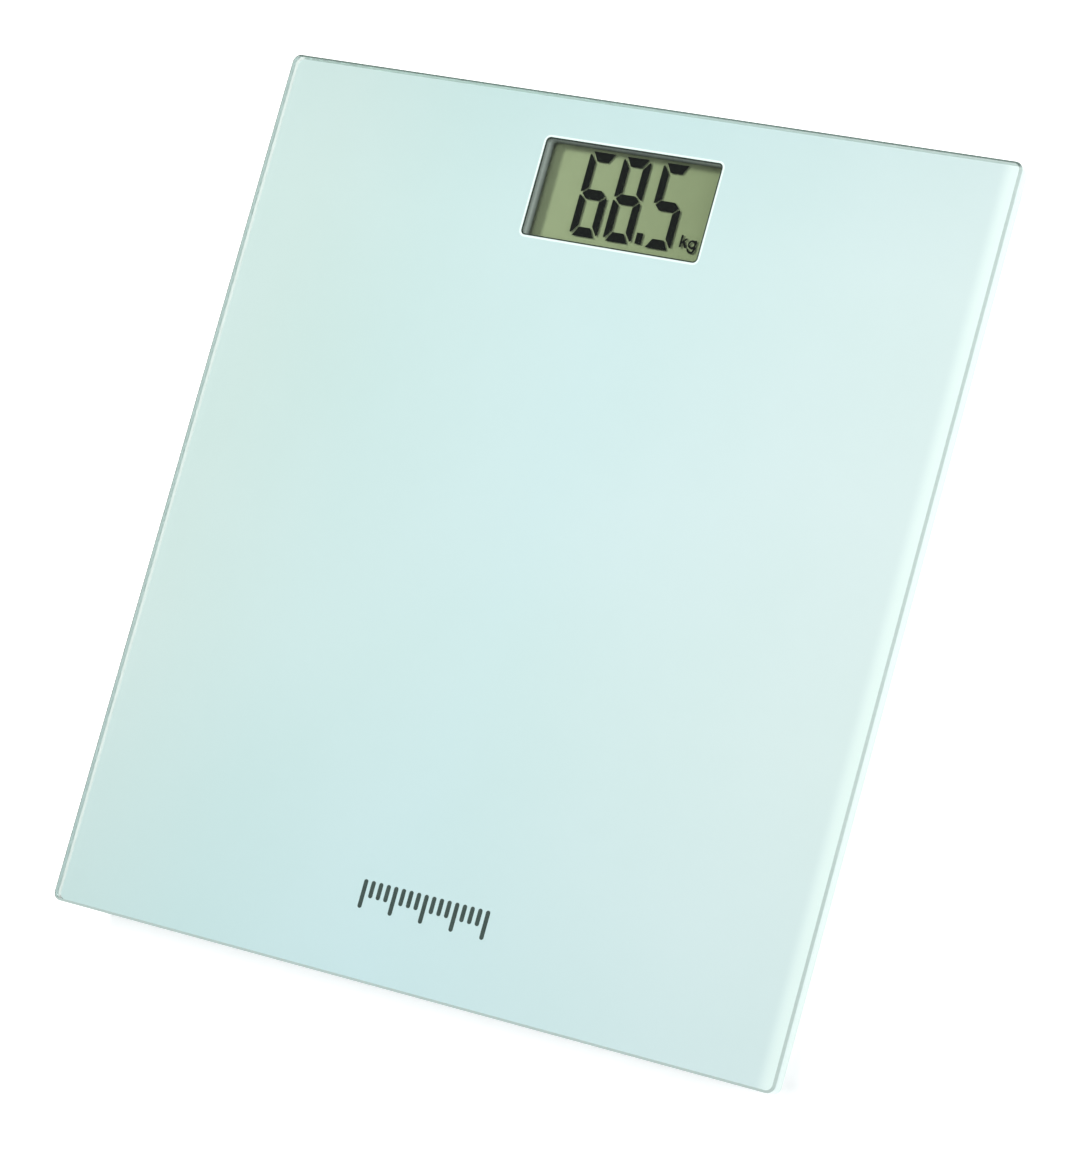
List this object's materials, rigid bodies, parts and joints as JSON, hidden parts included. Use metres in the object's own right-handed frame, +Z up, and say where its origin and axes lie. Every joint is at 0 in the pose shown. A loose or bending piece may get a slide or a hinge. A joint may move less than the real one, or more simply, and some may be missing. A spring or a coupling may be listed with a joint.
{
  "type": "digital bathroom scale",
  "caption": "Slim digital bathroom scale with a printed glass platform, a liquid-crystal display near one edge and feet that press on load cells.",
  "frame": {"origin": "middle of the footprint, on the plane that the feet stand on", "axes": "+Z up through the platform, +Y towards the display edge, +X to the right of a person facing the display"},
  "size_m": [0.28, 0.3, 0.022],
  "materials": {
    "tempered_glass": "polished float glass, ground arrises",
    "aqua_print": "screen-printed film, smooth",
    "foam_tape": "closed-cell foam",
    "black_foam": "closed-cell foam",
    "tray_abs": "moulded, fine spark texture",
    "bezel_abs": "moulded, satin",
    "display_glass": "polished",
    "lcd_ink": "driven liquid-crystal segments",
    "lcd_reflector": "diffuse reflector film",
    "contact_rubber": "layered conductive silicone",
    "board_laminate": "solder-masked glass epoxy",
    "chip_resin": "cast epoxy dome",
    "component_ceramic": "fired ceramic",
    "switch_plastic": "moulded nylon",
    "screw_steel": "zinc plated",
    "coin_cell_steel": "drawn stainless, satin",
    "seal_plastic": "moulded polypropylene",
    "contact_nickel": "nickel-plated spring steel",
    "lead_pvc": "extruded PVC",
    "label_film": "blank silver polyester",
    "load_cell_steel": "stamped alloy steel, nickel plated",
    "gauge_silicone": "cured silicone coat",
    "retainer_pom": "moulded acetal",
    "foot_abs": "moulded, satin",
    "foot_rubber": "moulded, fine grooves",
    "button_abs": "moulded, satin"
  },
  "bodies": {
    "platform": {"glass_platform": "tempered_glass", "backing_film": "aqua_print", "mounting_tape": "foam_tape", "window_gasket": "black_foam", "base_tray": "tray_abs", "display_frame": "bezel_abs", "lcd_polarizer": "display_glass", "lcd_front_glass": "display_glass", "lcd_segments": "lcd_ink", "lcd_rear_glass": "display_glass", "lcd_reflector": "lcd_reflector", "display_cushion": "black_foam", "contact_strip": "contact_rubber", "circuit_board": "board_laminate", "controller_chip": "chip_resin", "board_components": "component_ceramic", "unit_switch": "switch_plastic", "board_screws": "screw_steel", "coin_cell_can": "coin_cell_steel", "coin_cell_seal": "seal_plastic", "coin_cell_cap": "coin_cell_steel", "battery_contact_negative": "contact_nickel", "battery_contact_positive": "contact_nickel", "battery_leads": "lead_pvc", "retainer_screws": "screw_steel", "rating_label": "label_film", "load_cell_front_left": "load_cell_steel", "load_cell_front_right": "load_cell_steel", "load_cell_rear_left": "load_cell_steel", "load_cell_rear_right": "load_cell_steel", "strain_gauge_front_left": "gauge_silicone", "strain_gauge_front_right": "gauge_silicone", "strain_gauge_rear_left": "gauge_silicone", "strain_gauge_rear_right": "gauge_silicone", "cell_retainer_front_left": "retainer_pom", "cell_retainer_front_right": "retainer_pom", "cell_retainer_rear_left": "retainer_pom", "cell_retainer_rear_right": "retainer_pom", "sensor_leads_front_left": "lead_pvc", "sensor_leads_front_right": "lead_pvc", "sensor_leads_rear_left": "lead_pvc", "sensor_leads_rear_right": "lead_pvc"},
    "foot_front_left": {"foot_cap_front_left": "foot_abs", "foot_pad_front_left": "foot_rubber"},
    "foot_front_right": {"foot_cap_front_right": "foot_abs", "foot_pad_front_right": "foot_rubber"},
    "foot_rear_left": {"foot_cap_rear_left": "foot_abs", "foot_pad_rear_left": "foot_rubber"},
    "foot_rear_right": {"foot_cap_rear_right": "foot_abs", "foot_pad_rear_right": "foot_rubber"},
    "battery_door": {"battery_door": "tray_abs"},
    "unit_button": {"unit_button": "button_abs", "switch_plunger": "switch_plastic"}
  },
  "joints": [
    {"name": "foot_front_left_slide", "type": "slide", "parent": "platform", "child": "foot_front_left", "axis": [0, 0, -1], "range_m": [0, 0.0006]},
    {"name": "foot_front_right_slide", "type": "slide", "parent": "platform", "child": "foot_front_right", "axis": [0, 0, -1], "range_m": [0, 0.0006]},
    {"name": "foot_rear_left_slide", "type": "slide", "parent": "platform", "child": "foot_rear_left", "axis": [0, 0, -1], "range_m": [0, 0.0006]},
    {"name": "foot_rear_right_slide", "type": "slide", "parent": "platform", "child": "foot_rear_right", "axis": [0, 0, -1], "range_m": [0, 0.0006]},
    {"name": "battery_door_hinge", "type": "hinge", "parent": "platform", "child": "battery_door", "pos_m": [0, 0.046, 0.00425], "axis": [-1, 0, 0], "range_deg": [0, 90]},
    {"name": "unit_button_press", "type": "slide", "parent": "platform", "child": "unit_button", "axis": [0, 0, 1], "range_m": [0, 0.0003], "stiffness_N_per_m": 600, "springref_m": -0.0005}
  ]
}
